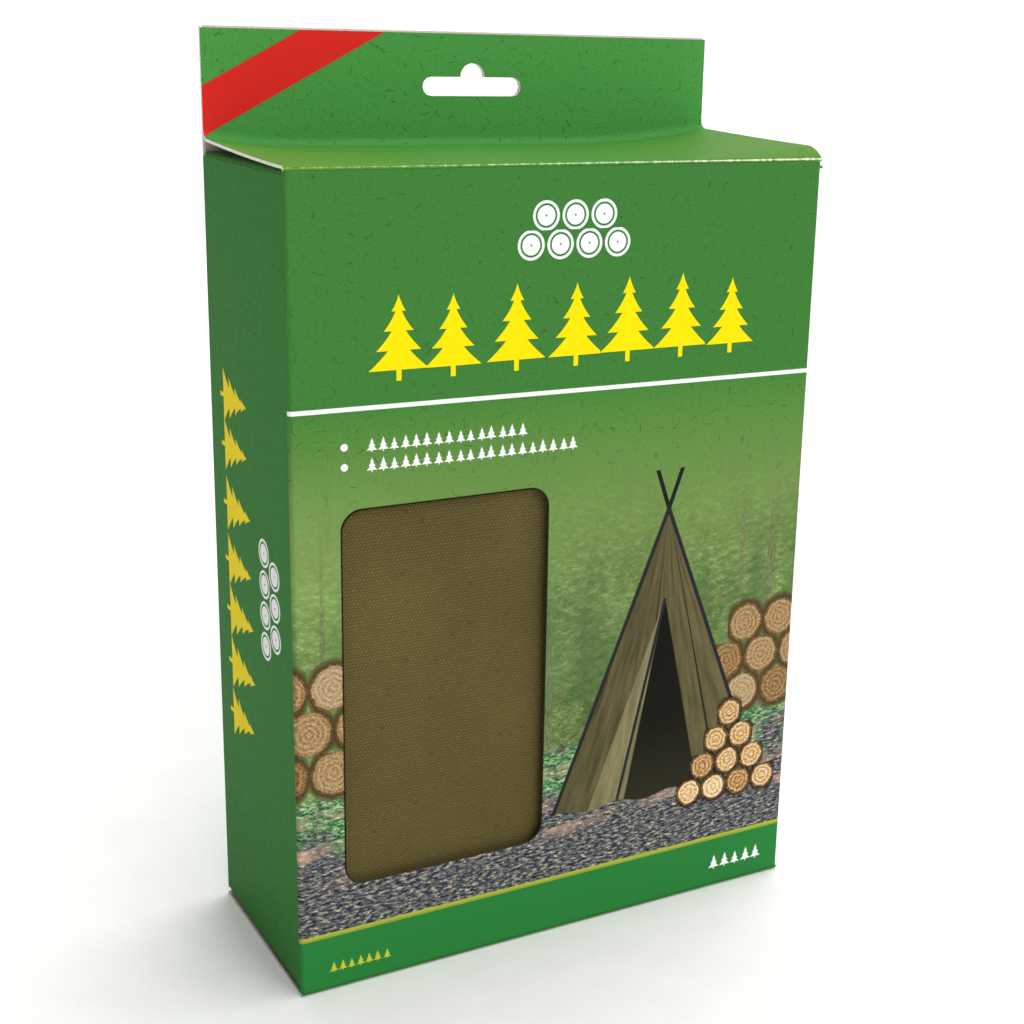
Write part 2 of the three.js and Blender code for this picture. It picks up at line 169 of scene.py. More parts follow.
def millimetres(add):
    """The piece's own x, y and z in millimetres, so a noise's scale is cells per millimetre."""
    place = add("VectorMath SCALE", add("TexCoord", out="Object"), 1 / mm)
    return add("SeparateXYZ", place).node.outputs


def inside(add, distance, soft=0.1):
    """1 inside a shape and 0 outside, from the distance in millimetres past its edge."""
    return add("MapRange", distance, -soft, soft, 1, 0)


def inked(add, colour, ink, past, soft=0.1):
    """A colour with an ink laid over it inside a shape. soft is half the width of its soft edge."""
    return add("Mix", inside(add, past, soft), colour, ink, data_type="RGBA")


def both(add, *values):
    """The distance outside the part that several shapes share."""
    return reduce(lambda a, b: add("Math MAXIMUM", a, b), values)


def off(add, value, centre, half):
    """How far a value is outside a range, from the range's middle and its half width."""
    return add("Math SUBTRACT", add("Math ABSOLUTE", add("Math SUBTRACT", value, centre)), half)


def fibres(add, u, v, spacing, longest, thickness):
    """Curved strands of unbleached fibre in the board, one in each cell: 1 on a strand."""
    place = add("CombineXYZ", u, v, 0)
    stir = add("TexNoise", place, 0.5, 1, out="Color")
    place = add("VectorMath ADD", place, add("VectorMath SCALE", stir, spacing * 0.35))
    cells = add("TexVoronoi", place, 1 / spacing, voronoi_dimensions="2D").node.outputs
    angle, bend, length = add("SeparateColor", cells["Color"]).node.outputs
    from_middle = add("VectorMath SUBTRACT", place, cells["Position"])
    turned = add(
        "VectorRotate",
        from_middle,
        (0, 0, 0),
        add("Math MULTIPLY", angle, math.tau),
        rotation_type="Z_AXIS",
    )
    along, across, _ = add("SeparateXYZ", turned).node.outputs
    curl = add("Math MULTIPLY", add("Math SUBTRACT", bend, 0.5), 1.2 / longest)
    curved = add("Math MULTIPLY", curl, add("Math MULTIPLY", along, along))
    beside = off(add, add("Math ADD", across, curved), 0, thickness / 2)
    half = add("Math MULTIPLY", length, longest / 2)
    beyond = add("Math SUBTRACT", add("Math ABSOLUTE", along), half)
    return inside(add, both(add, beside, beyond), 0.07)


def fir_row(add, along, up, pitch, tallest, spread, tiers, seed, unevenness=0.3):
    """Distance outside a row of firs of uneven height that stand on up = 0, one in each pitch."""
    number = add("Math FLOOR", add("Math DIVIDE", along, pitch))
    chance = add("TexWhiteNoise", add("Math ADD", number, seed), noise_dimensions="1D", out="Color")
    shift, shrink, _ = add("SeparateColor", chance).node.outputs
    middle = add("Math MULTIPLY", add("Math ADD", number, 0.5), pitch)
    sway = add("Math MULTIPLY", add("Math SUBTRACT", shift, 0.5), unevenness * pitch)
    beside = add("Math ABSOLUTE", add("Math SUBTRACT", along, add("Math ADD", middle, sway)))
    height = add("MapRange", shrink, 0, 1, tallest, tallest * (1 - unevenness))
    share = add("Math DIVIDE", up, height)
    bare = 0.13  # the share of the height that is trunk
    crown = add("MapRange", share, bare, 1, 0, 1, clamp=False)
    tier = add("Math FRACT", add("Math MULTIPLY", crown, tiers))
    droop = add("MapRange", tier, 0, 1, 1, 0.5)
    taper = add("Math MULTIPLY", add("Math SUBTRACT", 1, crown), add("Math GREATER_THAN", crown, 0))
    widest = add("Math MULTIPLY", height, spread)
    branch = add("Math MULTIPLY", add("Math MULTIPLY", taper, droop), widest)
    trunk = add("Math MULTIPLY", add("Math LESS_THAN", share, 2 * bare), tallest * 0.035)
    reach = add("Math MAXIMUM", branch, trunk)
    half = add("Math MULTIPLY", height, 0.5)
    return both(add, add("Math SUBTRACT", beside, reach), off(add, up, half, half))


def log_pile(add, along, up, radius, bottom_row, rows):
    """A pile of round log ends on up = 0, centred on along = 0, each row with one fewer.

    Gives the distance past the nearest end's rim, the distance from its middle, and its own number.
    """
    rise = radius * math.sqrt(3)
    level = add("Math SUBTRACT", up, radius - rise / 2)
    row = add("Math FLOOR", add("Math DIVIDE", level, rise))
    row = add("Math MINIMUM", add("Math MAXIMUM", row, 0), rows - 1)
    lean = add("Math MULTIPLY", add("Math SUBTRACT", bottom_row, row), 0.5)
    slot = add("Math FLOOR", add("Math ADD", add("Math DIVIDE", along, 2 * radius), lean))
    middle = add("Math SUBTRACT", add("Math ADD", slot, 0.5), lean)
    aside = add("Math SUBTRACT", along, add("Math MULTIPLY", middle, 2 * radius))
    above = add("Math SUBTRACT", up, add("Math MULTIPLY_ADD", row, rise, radius))
    from_middle = add("VectorMath LENGTH", add("CombineXYZ", aside, above, 0), out="Value")
    last = add("Math SUBTRACT", lean, 0.4)
    past_ends = add("Math GREATER_THAN", add("Math ABSOLUTE", middle), last)
    past_rim = add("Math SUBTRACT", from_middle, radius * 0.96)
    chance = add("TexWhiteNoise", add("CombineXYZ", slot, row, 0), noise_dimensions="2D")
    return add("Math MULTIPLY_ADD", past_ends, 2 * radius, past_rim), from_middle, chance


def log_rounds(add, colour, along, up):
    """A white pile of log ends, printed high on the front and on each side."""
    radius, rings, groove = 4.5, 1.5, 0.3
    outline = 0.25  # how wide the darker green shows round the white
    past, from_middle, _ = log_pile(add, along, up, radius, 4, 2)
    colour = inked(add, colour, outline_green, past, 0.35)
    ring = add("Math PINGPONG", from_middle, rings)
    solid = both(add, add("Math ADD", past, outline), add("Math SUBTRACT", groove, ring))
    return inked(add, colour, white_ink, solid)


def fir_line(add, colour, along, up):
    """A yellow line of firs, printed under the log ends."""
    pitch, tallest, count = 17.6, 26, 7
    from_left = add("Math ADD", along, pitch * count / 2)
    past = fir_row(add, from_left, up, pitch, tallest, 0.37, tiers=4, seed=3, unevenness=0.14)
    past = both(add, past, off(add, along, 0, pitch * count / 2))
    colour = inked(add, colour, outline_green, past, 0.35)
    past = add("Math ADD", past, 0.2)
    return inked(add, colour, yellow_ink, past)


# Inks, as they look in the carton's own light; the side walls' green is a darker copy of the green
# ink as painted shade, and the tab's a lighter copy as painted light
green_ink = "#3f7c37"
outline_green = "#2b7a34"
# darker than green_ink: painted shade on the side walls
side_green_painted_shade = "#307c2d"
# lighter than green_ink: painted light on the tab
tab_green_painted_light = "#4d9747"
white_ink = "#fbfbf8"
yellow_ink = "#fbe103"
red_ink = "#e02a24"
core_colour = "#efe8d6"


def fibred_green(add, colour, u, v, brown=0.0):
    """Green ink on recycled board: fine grain, and dark fibres showing through, in places brown."""
    grain_size, cloud_size = 0.625, 22.22  # in millimetres
    place = add("CombineXYZ", u, v, 0)
    grain = add("TexNoise", place, 1 / grain_size, 3, 0.7)
    cloud = add("TexNoise", place, 1 / cloud_size, 2, 0.5)
    worn = add("MapRange", cloud, 0.45, 0.62, brown, 0.35 + brown)
    dark = add("Mix", worn, "#23542a", "#5c4a22", data_type="RGBA")
    shade = add("MapRange", grain, 0.3, 0.7, 0.9, 1.1)
    colour = add("VectorMath SCALE", colour, shade)
    long_ones = fibres(add, u, v, spacing=5.6, longest=3, thickness=0.22)
    short_ones = fibres(add, u, v, spacing=1.7, longest=1.2, thickness=0.16)
    amount = add("Math MULTIPLY_ADD", long_ones, 0.8, add("Math MULTIPLY", short_ones, 0.5))
    return add("Mix", amount, colour, dark, data_type="RGBA")


def varnished(add, colour, u, v):
    """Satin print varnish over ink on coated board, with the board's faint unevenness."""
    dimple_size = 2.857  # in millimetres
    uneven = add("TexNoise", add("CombineXYZ", u, v, 0), 1 / dimple_size, 4, 0.6)
    shader = {
        "Base Color": colour,
        "Roughness": add("MapRange", uneven, 0.3, 0.7, 0.5, 0.62),
        "IOR": 1.48,
        "Specular IOR Level": 0.06,
        "Normal": add("Bump", {"Height": uneven, "Strength": 0.35, "Distance": 0.02 * mm}),
    }
    add("OutputMaterial", add("BsdfPrincipled", shader))


def forest_floor(add, x, z):
    """Litter in slanting strokes: slate, brown and straw, sprigs of green, and two lit streaks."""
    place = add("CombineXYZ", x, z, 0)
    strokes = add("Mapping", place, (0, 0, 0), (0, 0, math.radians(-24)), (0.55, 1.5, 1))
    litter = add("TexNoise", strokes, 0.85, 5, 0.72)
    ground = add(
        "ValToRGB",
        litter,
        stops=[
            (0.34, "#11141d"),
            (0.43, "#2b323f"),
            (0.49, "#4d545c"),
            (0.545, "#75716a"),
            (0.6, "#b0a590"),
            (0.68, "#e6ddcc"),
        ],
    )
    leaf = add("TexNoise", strokes, 1.1, 4, 0.7, out="Color")
    leaf = add("SeparateColor", leaf).node.outputs["Green"]
    sprigs = add(
        "ValToRGB",
        leaf,
        stops=[(0.36, "#143226"), (0.46, "#2a7148"), (0.54, "#6aa860"), (0.64, "#d9e3b4")],
    )
    patches = add("TexNoise", place, 0.07, 2, 0.5)
    height = add("MapRange", z, 34, 46, -0.22, 0.1)
    growing = add("MapRange", add("Math ADD", patches, height), 0.46, 0.6, 0, 0.85)
    ground = add("Mix", growing, ground, sprigs, data_type="RGBA")
    slope = add("Math MULTIPLY_ADD", x, -0.12, z)
    streak = add("Math SINE", add("Math MULTIPLY", slope, 0.62))
    lit = add("TexNoise", place, 0.05, 3, 0.6)
    streak = both(add, add("Math SUBTRACT", 0.35, streak), add("Math SUBTRACT", 0.52, lit))
    straw = add("Mix", litter, "#a07f66", "#efcdb4", data_type="RGBA")
    lit = add("Math MULTIPLY", inside(add, streak, 0.12), inside(add, off(add, z, 45, 13), 2))
    return add("Mix", add("Math MULTIPLY", lit, 0.75), ground, straw, data_type="RGBA")


def misty_forest(add, x, z):
    """Bright mottled leaves behind two rows of firs that fade upwards into mist."""
    air = add(
        "ValToRGB",
        add("MapRange", z, 60, 170, 0, 1),
        stops=[
            (0.0, "#474d30"),
            (0.2, "#64703e"),
            (0.42, "#6c8148"),
            (0.66, "#6c8a48"),
            (1.0, "#53863c"),
        ],
    )
    place = add("CombineXYZ", x, z, 0)
    strokes = add("Mapping", place, (0, 0, 0), (0, 0, math.radians(-38)), (0.5, 1.1, 1))
    leaves = add("TexNoise", strokes, 0.62, 6, 0.85)
    leaves = add(
        "ValToRGB",
        leaves,
        stops=[(0.34, "#2b4423"), (0.45, "#56763b"), (0.54, "#7b9655"), (0.66, "#c4cfa4")],
    )
    sunny = add("MapRange", x, -30, -80, 0, 0.8)
    air = add("Mix", sunny, air, "#8aa75d", data_type="RGBA")
    thick = add("MapRange", z, 150, 108, 0, 0.55)
    colour = add("Mix", thick, air, leaves, data_type="RGBA")
    trunks = add("TexNoise", add("CombineXYZ", x, add("Math MULTIPLY", z, 0.05), 0), 0.17, 2, 0.5)
    bark = add("TexNoise", add("CombineXYZ", x, add("Math MULTIPLY", z, 0.3), 0), 1.6, 4, 0.7)
    bark = add("ValToRGB", bark, stops=[(0.35, "#47472f"), (0.65, "#8c8d68")])
    standing = add("MapRange", z, 158, 112, 0, 0.62)
    trunk = add("Math MULTIPLY", add("MapRange", trunks, 0.57, 0.6, 0, 1), standing)
    colour = add("Mix", trunk, colour, bark, data_type="RGBA")
    dapple = add("MapRange", add("TexNoise", place, 0.055, 3, 0.6), 0.35, 0.65, 0.78, 1.2)
    dapple = add("Math ADD", add("Math MULTIPLY", add("Math SUBTRACT", dapple, 1), thick), 1)
    dapple = add("Math ADD", dapple, add("Math MULTIPLY", add("Math SUBTRACT", dapple, 1), 0.6))
    colour = add("VectorMath SCALE", colour, dapple)
    edge = add("Math MULTIPLY", add("Math SUBTRACT", add("TexNoise", place, 0.8, 3, 0.6), 0.5), 4)
    for foot, pitch, tallest, ink, strength, seed in (
        (74, 12.5, 70, "#5c7a4c", 0.42, 11),
        (66, 19, 78, "#3c5c33", 0.55, 29),
    ):
        height = add("Math SUBTRACT", z, foot)
        past = fir_row(add, x, height, pitch, tallest, 0.17, tiers=7, seed=seed, unevenness=0.45)
        fade = add("MapRange", height, 0.95 * tallest, 0, 0.15 * strength, strength)
        shown = add("Math MULTIPLY", inside(add, add("Math ADD", past, edge), 0.7), fade)
        colour = add("Mix", shown, colour, ink, data_type="RGBA")
    return colour


def tent(add, colour, x, z):
    """An olive canvas tent with seams, poles, and a dark doorway with its flap folded back."""
    centre, foot, height, spread, pole = 34, 38, 92, 37, 12
    sunk = 3  # how far the poles' feet are hidden behind the top
    aside = add("Math SUBTRACT", x, centre)
    up = add("Math SUBTRACT", z, foot)
    down = add("Math SUBTRACT", height, up)
    for lean in (-1, 1):
        off_pole = add("Math MULTIPLY_ADD", down, lean * 0.36, aside)
        beyond = off(add, up, height + pole / 2 - sunk, pole / 2 + sunk)
        past = both(add, off(add, off_pole, 0, 0.75), beyond)
        colour = inked(add, colour, "#1c1d20", past)
    hang = add("Math MULTIPLY_ADD", add("Math SINE", add("Math MULTIPLY", aside, 0.32)), -0.8, up)
    under = add("Math MULTIPLY", hang, -1)
    share = add("Math DIVIDE", aside, add("Math MAXIMUM", down, 0.5))
    slant = spread / height
    side = add("Math SUBTRACT", add("Math ABSOLUTE", aside), add("Math MULTIPLY", down, slant))
    shape = both(add, side, under, add("Math SUBTRACT", up, height - 2))
    fold = add("Math MULTIPLY", share, 26)
    fold = add("TexNoise", add("CombineXYZ", fold, add("Math MULTIPLY", up, 0.05), 0), 0.9, 3, 0.6)
    dark_side = add("MapRange", share, -slant, slant, 0.0, 0.16)
    shading = add("Math ADD", fold, dark_side)
    canvas = add(
        "ValToRGB",
        shading,
        stops=[(0.3, "#3a3622"), (0.48, "#524c33"), (0.6, "#5e5739"), (0.75, "#6a6243")],
    )
    seams = off(add, add("Math PINGPONG", add("Math ADD", share, slant), slant / 2.5), 0, 0.006)
    canvas = inked(add, canvas, "#23231f", seams, 0.003)
    colour = inked(add, colour, canvas, shape, 0.2)
    rim = both(add, off(add, side, 0, 0.7), under, add("Math SUBTRACT", up, height))
    colour = inked(add, colour, "#26272a", rim, 0.15)
    door_top = 64
    door = add("Math MULTIPLY", add("Math SUBTRACT", door_top, up), 0.23)
    past_door = both(add, add("Math SUBTRACT", add("Math ABSOLUTE", aside), door), under)
    gloom = add("MapRange", up, 0, door_top, 0, 1)
    gloom = add("ValToRGB", gloom, stops=[(0, "#2c2a1c"), (0.35, "#17170f"), (1, "#0f0f0b")])
    colour = inked(add, colour, gloom, past_door, 0.2)
    flap = add("Math MULTIPLY_ADD", door, 1.25, aside)
    flap = both(add, off(add, flap, 0, add("Math MULTIPLY", door, 0.42)), under)
    lining = add("ValToRGB", fold, stops=[(0.35, "#6f6848"), (0.65, "#8d8560")])
    colour = inked(add, colour, lining, flap, 0.2)
    trim = off(add, add("Math ADD", aside, door), 0, 0.55)
    trim = both(add, trim, under, add("Math SUBTRACT", up, door_top))
    return inked(add, colour, "#26272a", trim, 0.15)


def firewood(add, colour, x, z, middle, foot, radius, bottom_row, rows):
    """A pile of sawn logs seen end on: cream wood with rings and cracks, in a rim of brown bark."""
    aside = add("Math SUBTRACT", x, middle)
    up = add("Math SUBTRACT", z, foot)
    wobble = add("TexNoise", add("CombineXYZ", x, z, 0), 0.32, 3, 0.6)
    wobble = add("Math MULTIPLY", add("Math SUBTRACT", wobble, 0.5), 1.8)
    past, from_middle, chance = log_pile(add, aside, up, radius, bottom_row, rows)
    past = add("Math ADD", past, wobble)
    shadow = add("Math SUBTRACT", past, 0.9)
    colour = inked(add, colour, "#1b1712", shadow, 0.8)
    speck = add("TexNoise", add("CombineXYZ", x, z, 0), 1.4, 4, 0.7)
    bark = add("ValToRGB", speck, stops=[(0.35, "#2f2013"), (0.55, "#7a5835"), (0.7, "#c9a173")])
    colour = inked(add, colour, bark, past, 0.2)
    ring = add("Math MULTIPLY", add("Math ADD", from_middle, wobble), 4.2)
    ring = add("Math MULTIPLY_ADD", add("Math SINE", ring), 0.065, speck)
    ring = add("Math ADD", ring, add("MapRange", chance, 0, 1, -0.1, 0.08))
    wood = add(
        "ValToRGB",
        ring,
        stops=[(0.3, "#7d5630"), (0.43, "#b98a55"), (0.56, "#e2c18c"), (0.72, "#f8e8ca")],
    )
    return inked(add, colour, wood, add("Math ADD", past, 0.75), 0.15)


def wooded_scene(add, x, z):
    """The forest, its floor with a ragged edge, and a dim pile of logs at each side."""
    scene = misty_forest(add, x, z)
    edge, raggedness = 60, 7
    ragged = add("TexNoise", add("CombineXYZ", x, z, 0), 0.5, 3, 0.7)
    ragged = add("Math MULTIPLY", add("Math SUBTRACT", ragged, 0.5), raggedness)
    above = add("Math ADD", z, ragged)
    floor = forest_floor(add, x, z)
    on_floor = add("MapRange", above, edge - 1, edge + 1, 1, 0)
    scene = add("Mix", on_floor, scene, floor, data_type="RGBA")
    far = scene
    for middle, radius, bottom_row in ((84, 6.6, 6), (-86, 7.2, 5)):
        far = firewood(add, far, x, z, middle, edge, radius, bottom_row, rows=3)
    changed = add("VectorMath DISTANCE", far, scene, out="Value")
    veil = add("Math MULTIPLY", add("Math GREATER_THAN", changed, 0.0001), 0.5)
    return add("Mix", veil, far, "#5e4a2c", data_type="RGBA")


def small_firs(add, colour, x, z):
    """Rows of small firs high and low on the front, and a dot before each of the two high rows."""
    for foot, left, count, pitch, ink in (
        (156.7, -61.5, 15, 3.2, white_ink),
        (151.3, -61.5, 20, 3.2, white_ink),
        (6.2, 55, 5, 4.1, white_ink),
        (5.6, -74, 7, 2.7, "#c9c93a"),
    ):
        along = add("Math SUBTRACT", x, left)
        up = add("Math SUBTRACT", z, foot)
        past = fir_row(add, along, up, pitch, pitch * 1.25, 0.4, tiers=3, seed=7, unevenness=0.15)
        past = both(add, past, off(add, along, count * pitch / 2, count * pitch / 2))
        colour = inked(add, colour, ink, past, 0.08)
    dot_place, dot_radius = -67.6, 1
    for dot_height in (158.6, 153.2):
        across = add("Math SUBTRACT", x, dot_place)
        from_dot = add("CombineXYZ", across, add("Math SUBTRACT", z, dot_height), 0)
        past = add("Math SUBTRACT", add("VectorMath LENGTH", from_dot, out="Value"), dot_radius)
        colour = inked(add, colour, white_ink, past)
    return colour


def window_painted_shadow(add, colour, x, z):
    """A dark line round the window, painted shadow of the window's edge, wider at its left and top
    where the shade falls.
    """
    thickness, shift = 0.27, 0.2
    corner = window_corner / mm
    half_across, half_up = window_width / mm / 2, window_height / mm / 2
    # the line's middle is shifted left and up so that the painted shadow is wider there
    middle_x = window_left / mm + half_across - shift
    middle_z = window_base / mm + half_up + shift
    reach_x = off(add, x, middle_x, half_across - corner)
    reach_z = off(add, z, middle_z, half_up - corner)
    beyond = add("CombineXYZ", add("Math MAXIMUM", reach_x, 0), add("Math MAXIMUM", reach_z, 0), 0)
    from_window = add("Math SUBTRACT", add("VectorMath LENGTH", beyond, out="Value"), corner)
    from_window = add("Math SUBTRACT", from_window, thickness)
    return inked(add, colour, "#140f08", from_window, 0.15)


def printed_front():
    """Litho print on coated board, satin varnished: dull sheen, sharp ink, fibres in the green."""
    material, add = new_finish("litho_printed_board_front")
    x, _, z = millimetres(add)
    colour = add(
        "ValToRGB",
        add("MapRange", z, 60, 231, 0, 1),
        stops=[
            (0, "#769552"),
            (0.38, "#769552"),
            (0.5, "#648b46"),
            (0.59, "#53863c"),
            (0.625, "#488239"),
            (0.64, green_ink),
            (1, green_ink),
        ],
    )
    green = fibred_green(add, colour, x, z, 0.2)
    shown = add("MapRange", z, 112, 158, 1, 0)
    colour = add("Mix", shown, green, wooded_scene(add, x, z), data_type="RGBA")
    colour = tent(add, colour, x, z)
    colour = firewood(add, colour, x, z, 60, 31, 4.7, 4, 4)
    for low, high, ink in ((0, 17, "#2a7f3a"), (16.9, 17.5, "#99a03a"), (17.5, 18.3, "#a9b637")):
        band = off(add, z, (low + high) / 2, (high - low) / 2)
        colour = inked(add, colour, ink, band, 0.06)
    rule_height, rule_half, rule_slope = 168.2, 0.6, 0.0073
    level = add("Math MULTIPLY_ADD", x, rule_slope, z)
    colour = inked(add, colour, white_ink, off(add, level, rule_height, rule_half))
    fir_foot, pile_foot = 175, 204.5
    colour = fir_line(add, colour, x, add("Math SUBTRACT", z, fir_foot))
    colour = log_rounds(add, colour, x, add("Math SUBTRACT", z, pile_foot))
    colour = small_firs(add, colour, x, z)
    colour = window_painted_shadow(add, colour, x, z)
    colour = cracked_crease(add, colour)
    varnished(add, colour, x, z)
    return material


def cracked_crease(add, colour):
    """Ink cracked along the front's top crease: faintly at the left, to the core at the right."""
    bend_middle, bend_half, near_enough = 0.35, 0.2, 1.7
    x, y, z = millimetres(add)
    down = add("Math SUBTRACT", box_top / mm, z)
    back = add("Math ADD", y, half_depth / mm)
    from_bend = off(add, add("Math SUBTRACT", down, back), bend_middle, bend_half)
    crack_length = 2.222  # in millimetres
    ragged = add("TexNoise", add("CombineXYZ", x, 0, 0), 1 / crack_length, 5, 0.8)
    ragged = add("Math SUBTRACT", ragged, 0.5)
    more = add("MapRange", x, -80, 80, -0.12, 0.1)
    worn = add("Math MULTIPLY_ADD", ragged, -2.2, add("Math SUBTRACT", from_bend, more))
    near = both(add, off(add, down, 0, near_enough), off(add, back, 0, near_enough))
    deeper = add("MapRange", x, -60, 75, 0, 1)
    bare = add("Mix", deeper, "#a3c272", core_colour, data_type="RGBA")
    return inked(add, colour, bare, both(add, worn, near), 0.12)


def printed_side():
    """The same print on the side walls, in a darker green as painted shade, with the firs and log
    ends turned to run down the panel.
    """
    material, add = new_finish("litho_printed_board_side_painted_shade")
    _, y, z = millimetres(add)
    # the side's green is darker than the front's: painted shade
    colour = fibred_green(add, side_green_painted_shade, y, z)
    fir_middle, fir_foot, fir_squeeze = 115.6, 23, 1.09
    pile_middle, pile_foot = 112, 30
    forward = add("Math SUBTRACT", fir_foot, y)
    down = add("Math SUBTRACT", fir_middle, z)
    colour = fir_line(add, colour, add("Math MULTIPLY", down, fir_squeeze), forward)
    down = add("Math SUBTRACT", pile_middle, z)
    colour = log_rounds(add, colour, down, add("Math SUBTRACT", forward, pile_foot))
    varnished(add, colour, y, z)
    return material


def printed_plain(name, flat, stripe=False):
    """Plain green print on the back, base, flaps and tab, where flat gives the panel's two axes; the
    tab's green is lighter, as painted light.
    """
    material, add = new_finish(name)
    place = millimetres(add)
    u, v = (place[axis] for axis in flat)
    # the tab's green is a lighter copy of the green ink: painted light
    colour = fibred_green(add, tab_green_painted_light if stripe else green_ink, u, v)
    if stripe:
        slope, low, high, border = 0.535, 2.6, 16.9, 0.3
        over = add("Math SUBTRACT", place[2], box_top / mm)
        rise = add("Math MULTIPLY", add("Math ADD", place[0], half_width / mm), -slope)
        past = off(add, add("Math ADD", over, rise), (low + high) / 2, (high - low) / 2)
        colour = inked(add, colour, "#1c9149", past, 0.2)
        past = add("Math ADD", past, border)
        colour = inked(add, colour, red_ink, past, 0.06)
    varnished(add, colour, u, v)
    return material


def printed_top():
    """The top panel's print, in a lighter, yellower green as painted light from above, yellowest
    toward its ends, and as light as the tab's green at its back.
    """
    material, add = new_finish("litho_printed_board_top_painted_light")
    x, y, z = millimetres(add)
    # the top's greens are lighter and yellower than the green ink: painted light from above,
    # strongest toward the ends
    yellow = add("MapRange", add("Math ABSOLUTE", x), 30, 80, 0, 1)
    colour = add("Mix", yellow, "#478531", "#598a30", data_type="RGBA")
    rear = add("MapRange", y, 12, half_depth / mm, 0, 1)
    colour = add("Mix", rear, colour, tab_green_painted_light, data_type="RGBA")
    colour = fibred_green(add, colour, x, y)
    colour = cracked_crease(add, colour)
    varnished(add, colour, x, y)
    return material


def raw_edge(name, dark, middle, light):
    """Die-cut edge of white-lined board, bare or painted dark as shade: fibrous, rough and matt."""
    material, add = new_finish(name)
    x, y, z = millimetres(add)
    fray_size = 1 / 3  # in millimetres
    fray = add("TexNoise", add("CombineXYZ", x, y, z), 1 / fray_size, 4, 0.7)
    colour = add("ValToRGB", fray, stops=[(0.35, dark), (0.5, middle), (0.65, light)])
    bump = add("Bump", {"Height": fray, "Strength": 0.6, "Distance": 0.05 * mm})
    shader = {"Base Color": colour, "Roughness": 0.9, "IOR": 1.45, "Normal": bump}
    add("OutputMaterial", add("BsdfPrincipled", shader))
    return material


def uncoated_back():
    """Uncoated side of the board: grey-white, matt, with flecks of recycled fibre."""
    material, add = new_finish("uncoated_board_back")
    x, y, z = millimetres(add)
    fleck_size = 0.8333  # in millimetres
    pulp = add("TexNoise", add("CombineXYZ", add("Math ADD", x, y), z, 0), 1 / fleck_size, 4, 0.7)
    colour = add("ValToRGB", pulp, stops=[(0.3, "#b9b2a3"), (0.5, "#cdc7b9"), (0.7, "#dcd7cb")])
    dark = fibres(add, add("Math ADD", x, y), z, spacing=4, longest=2.4, thickness=0.18)
    colour = add("Mix", add("Math MULTIPLY", dark, 0.4), colour, "#857a64", data_type="RGBA")
    bump = add("Bump", {"Height": pulp, "Strength": 0.5, "Distance": 0.04 * mm})
    shader = {"Base Color": colour, "Roughness": 0.95, "IOR": 1.45, "Normal": bump}
    add("OutputMaterial", add("BsdfPrincipled", shader))
    return material


def cotton_duck():
    """Dyed cotton duck, plain woven of plied yarn: matt, with a painted highlight on each crossing
    and painted shade between.
    """
    warp, weft = 1.15, 0.9  # distance between yarn crossings, in millimetres
    waver_length, waver = 4.545, 1.1  # how long and how far the yarns stray
    fuzz_size, cloud_size = 1 / 3, 33.33
    material, add = new_finish("olive_cotton_duck")
    place = add("Attribute", attribute_name="cloth_place", out="Vector")
    place = add("VectorMath SCALE", place, 1 / mm)
    stir = add("TexNoise", place, 1 / waver_length, 2, 0.5, out="Color")
    stir = add("VectorMath SUBTRACT", stir, (0.5, 0.5, 0.5))
    place = add("VectorMath ADD", place, add("VectorMath SCALE", stir, waver))
    across, along, _ = add("SeparateXYZ", place).node.outputs
    row = add("Math DIVIDE", along, weft)
    row_number = add("Math FLOOR", row)
    slot = add("Math MULTIPLY_ADD", row_number, 0.5, add("Math DIVIDE", across, warp))
    slot_number = add("Math FLOOR", slot)
    u = add("Math SUBTRACT", add("Math SUBTRACT", slot, slot_number), 0.5)
    v = add("Math SUBTRACT", add("Math SUBTRACT", row, row_number), 0.5)
    leaning = add("Math MULTIPLY_ADD", v, -0.55, u)
    from_middle = add("VectorMath LENGTH", add("CombineXYZ", leaning, v, 0), out="Value")
    crown = add("MapRange", from_middle, 0.12, 0.56, 1, 0, interpolation_type="SMOOTHSTEP")
    number = add("CombineXYZ", slot_number, row_number, 0)
    chance = add("TexWhiteNoise", number, noise_dimensions="2D")
    fuzz = add("TexNoise", place, 1 / fuzz_size, 3, 0.7)
    cloud = add("TexNoise", place, 1 / cloud_size, 2, 0.5)
    height = add("Math MULTIPLY", crown, add("MapRange", chance, 0, 1, 0.55, 1))
    height = add("Math MULTIPLY_ADD", fuzz, 0.35, height)
    # the yarn's crowns are coloured lighter and the gaps darker: painted highlight and painted shade
    light = add("Math MULTIPLY_ADD", cloud, 0.22, add("Math MULTIPLY_ADD", height, 0.45, 0.24))
    colour = add(
        "ValToRGB",
        light,
        stops=[(0.26, "#3d361d"), (0.45, "#564c29"), (0.75, "#685c32"), (1.0, "#7a6d3f")],
    )
    slub = add("Math GREATER_THAN", chance, 0.997)
    colour = add("Mix", add("Math MULTIPLY", slub, 0.4), colour, "#2e2917", data_type="RGBA")
    bump = add("Bump", {"Height": height, "Strength": 0.6, "Distance": 0.18 * mm})
    shader = {
        "Base Color": colour,
        "Roughness": 0.95,
        "IOR": 1.5,
        "Specular IOR Level": 0.2,
        "Normal": bump,
    }
    add("OutputMaterial", add("BsdfPrincipled", shader))
    return material


